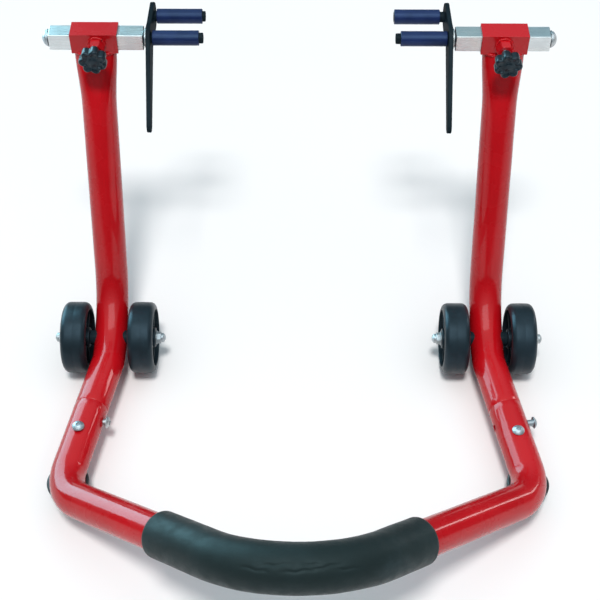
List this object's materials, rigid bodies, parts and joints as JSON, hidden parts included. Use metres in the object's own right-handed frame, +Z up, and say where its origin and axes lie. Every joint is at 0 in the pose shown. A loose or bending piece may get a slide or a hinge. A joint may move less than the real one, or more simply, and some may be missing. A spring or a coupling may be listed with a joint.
{
  "type": "paddock stand",
  "caption": "Rear motorcycle paddock stand: bowed tube handle with foam grip, two leaning uprights on wheels, and square sliders with hanging levers and roller pins.",
  "frame": {"origin": "On the ground, under the middle of the stand's bounding box.", "axes": "+Z up, +Y towards the motorcycle, +X to the right of a person who stands at the handle."},
  "size_m": [0.601, 0.6491, 0.383],
  "materials": {
    "red_paint": "gloss",
    "foam": "matte",
    "zinc": "satin",
    "bare_steel": "satin",
    "rubber": "satin",
    "black_plastic": "gloss",
    "wheel_plastic": "satin",
    "black_paint": "gloss",
    "roller_plastic": "satin"
  },
  "bodies": {
    "root": {"handle_tube": "red_paint", "foam_grip": "foam", "left_upright": "red_paint", "right_upright": "red_paint", "left_joint_sleeve": "bare_steel", "right_joint_sleeve": "bare_steel", "joint_screws": "zinc", "joint_nuts": "zinc", "left_foot": "rubber", "right_foot": "rubber", "foot_screws": "zinc", "left_socket": "red_paint", "right_socket": "red_paint", "left_weld_nut": "red_paint", "right_weld_nut": "red_paint", "left_axle_bush": "black_paint", "right_axle_bush": "black_paint", "left_axle": "zinc", "right_axle": "zinc", "axle_nuts": "zinc", "axle_washers": "zinc"},
    "left_outer_wheel": {"left_outer_wheel": "wheel_plastic"},
    "left_inner_wheel": {"left_inner_wheel": "wheel_plastic"},
    "left_knob": {"left_knob": "black_plastic", "left_clamp_stud": "zinc"},
    "left_slider": {"left_slider_tube": "zinc", "left_slider_bushes": "black_plastic", "left_pivot_pin": "black_paint", "left_pin_cap": "zinc", "left_end_washer": "zinc"},
    "left_lever": {"left_lever": "black_paint", "left_rear_pin": "black_paint"},
    "left_front_roller": {"left_front_roller": "roller_plastic"},
    "left_rear_roller": {"left_rear_roller": "roller_plastic"},
    "right_outer_wheel": {"right_outer_wheel": "wheel_plastic"},
    "right_inner_wheel": {"right_inner_wheel": "wheel_plastic"},
    "right_knob": {"right_knob": "black_plastic", "right_clamp_stud": "zinc"},
    "right_slider": {"right_slider_tube": "zinc", "right_slider_bushes": "black_plastic", "right_pivot_pin": "black_paint", "right_pin_cap": "zinc", "right_end_washer": "zinc"},
    "right_lever": {"right_lever": "black_paint", "right_rear_pin": "black_paint"},
    "right_front_roller": {"right_front_roller": "roller_plastic"},
    "right_rear_roller": {"right_rear_roller": "roller_plastic"}
  },
  "joints": [
    {"name": "left_outer_wheel_spin", "type": "hinge", "parent": "root", "child": "left_outer_wheel", "pos_m": [-0.273, 0.08906, 0.044], "axis": [1, 0, 0], "continuous": true},
    {"name": "left_inner_wheel_spin", "type": "hinge", "parent": "root", "child": "left_inner_wheel", "pos_m": [-0.192, 0.08906, 0.044], "axis": [1, 0, 0], "continuous": true},
    {"name": "left_knob_turn", "type": "hinge", "parent": "root", "child": "left_knob", "pos_m": [-0.2285, 0.24656, 0.366], "axis": [0, 1, 0], "continuous": true},
    {"name": "left_slider_slide", "type": "slide", "parent": "root", "child": "left_slider", "axis": [1, 0, 0], "range_m": [-0.025, 0.021]},
    {"name": "left_lever_swing", "type": "hinge", "parent": "left_slider", "child": "left_lever", "pos_m": [-0.1699, 0.26306, 0.366], "axis": [1, 0, 0], "continuous": true},
    {"name": "left_front_roller_spin", "type": "hinge", "parent": "left_slider", "child": "left_front_roller", "pos_m": [-0.1394, 0.26306, 0.366], "axis": [1, 0, 0], "continuous": true},
    {"name": "left_rear_roller_spin", "type": "hinge", "parent": "left_lever", "child": "left_rear_roller", "pos_m": [-0.1394, 0.30856, 0.363], "axis": [1, 0, 0], "continuous": true},
    {"name": "right_outer_wheel_spin", "type": "hinge", "parent": "root", "child": "right_outer_wheel", "pos_m": [0.273, 0.08906, 0.044], "axis": [1, 0, 0], "continuous": true},
    {"name": "right_inner_wheel_spin", "type": "hinge", "parent": "root", "child": "right_inner_wheel", "pos_m": [0.192, 0.08906, 0.044], "axis": [1, 0, 0], "continuous": true},
    {"name": "right_knob_turn", "type": "hinge", "parent": "root", "child": "right_knob", "pos_m": [0.2305, 0.24656, 0.366], "axis": [0, 1, 0], "continuous": true},
    {"name": "right_slider_slide", "type": "slide", "parent": "root", "child": "right_slider", "axis": [1, 0, 0], "range_m": [-0.021, 0.025]},
    {"name": "right_lever_swing", "type": "hinge", "parent": "right_slider", "child": "right_lever", "pos_m": [0.1699, 0.26306, 0.366], "axis": [1, 0, 0], "continuous": true},
    {"name": "right_front_roller_spin", "type": "hinge", "parent": "right_slider", "child": "right_front_roller", "pos_m": [0.1394, 0.26306, 0.366], "axis": [1, 0, 0], "continuous": true},
    {"name": "right_rear_roller_spin", "type": "hinge", "parent": "right_lever", "child": "right_rear_roller", "pos_m": [0.1394, 0.30856, 0.363], "axis": [1, 0, 0], "continuous": true}
  ]
}
